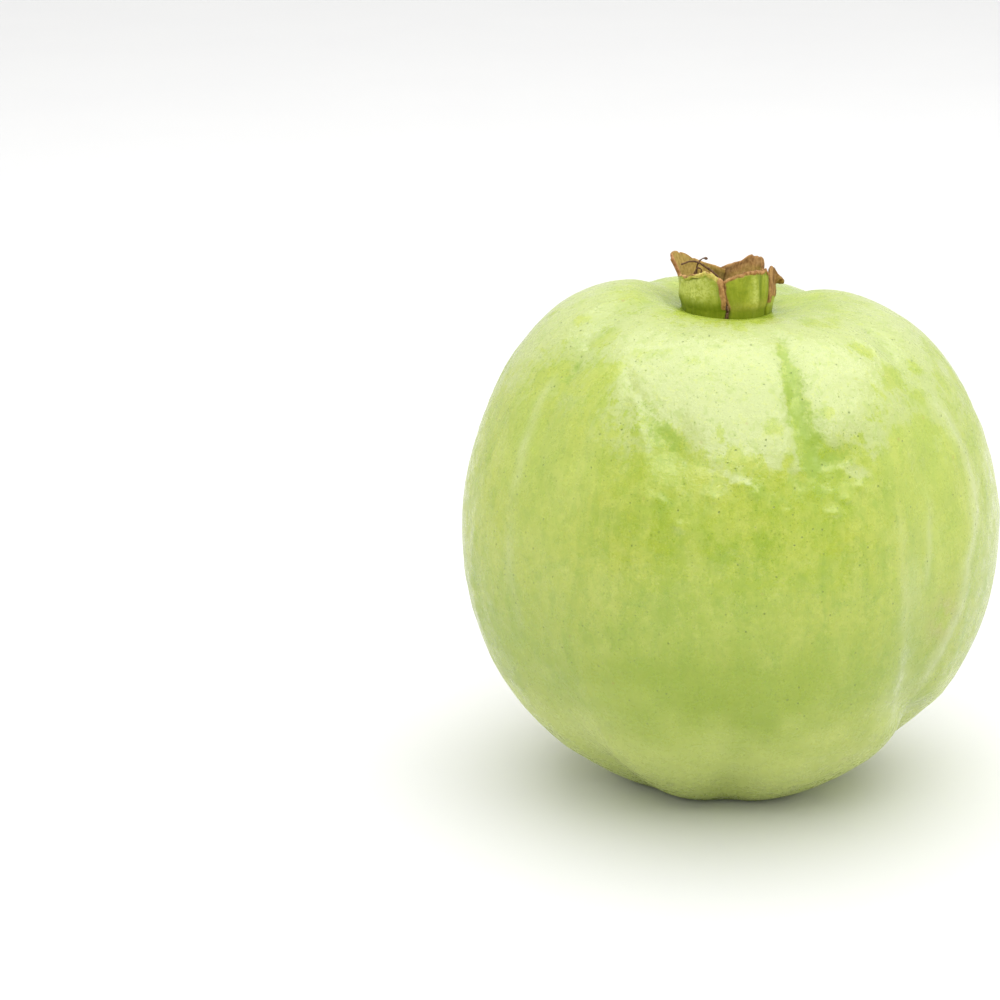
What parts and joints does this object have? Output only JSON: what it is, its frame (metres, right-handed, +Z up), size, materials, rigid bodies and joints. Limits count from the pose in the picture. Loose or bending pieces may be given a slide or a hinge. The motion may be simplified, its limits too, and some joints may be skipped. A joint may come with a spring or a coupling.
{
  "type": "whole guava",
  "caption": "Whole round green guava with soft ribs, standing on its stalk end, with a dried flower crown of ragged sepals on top.",
  "frame": {"origin": "middle of the fruit's box seen from above, on the surface that the fruit rests on", "axes": "+Z up from the stalk end to the crown, -Y towards the side shown as the front, +X to the right of that side"},
  "size_m": [0.0907, 0.0914, 0.0913],
  "materials": {
    "skin": "thin waxy fruit skin, pale lime green, mottled, with fine dark pores, soft gloss",
    "green_sepal": "fleshy green sepal, matte, with a dried brown rim",
    "dried_sepal": "dried brown sepal, brittle, matte",
    "dried_thread": "dried dark brown thread, matte",
    "stalk": "cut woody stalk, matte"
  },
  "bodies": {
    "root": {"fruit": "skin", "sepal_front_left": "green_sepal", "sepal_front_right": "green_sepal", "sepal_right": "dried_sepal", "sepal_back_right": "dried_sepal", "sepal_back_left": "dried_sepal", "dried_style": "dried_thread", "dried_stamen_1": "dried_thread", "dried_stamen_2": "dried_thread", "dried_stamen_3": "dried_thread", "dried_stamen_4": "dried_thread", "stalk_stub": "stalk"}
  },
  "joints": []
}
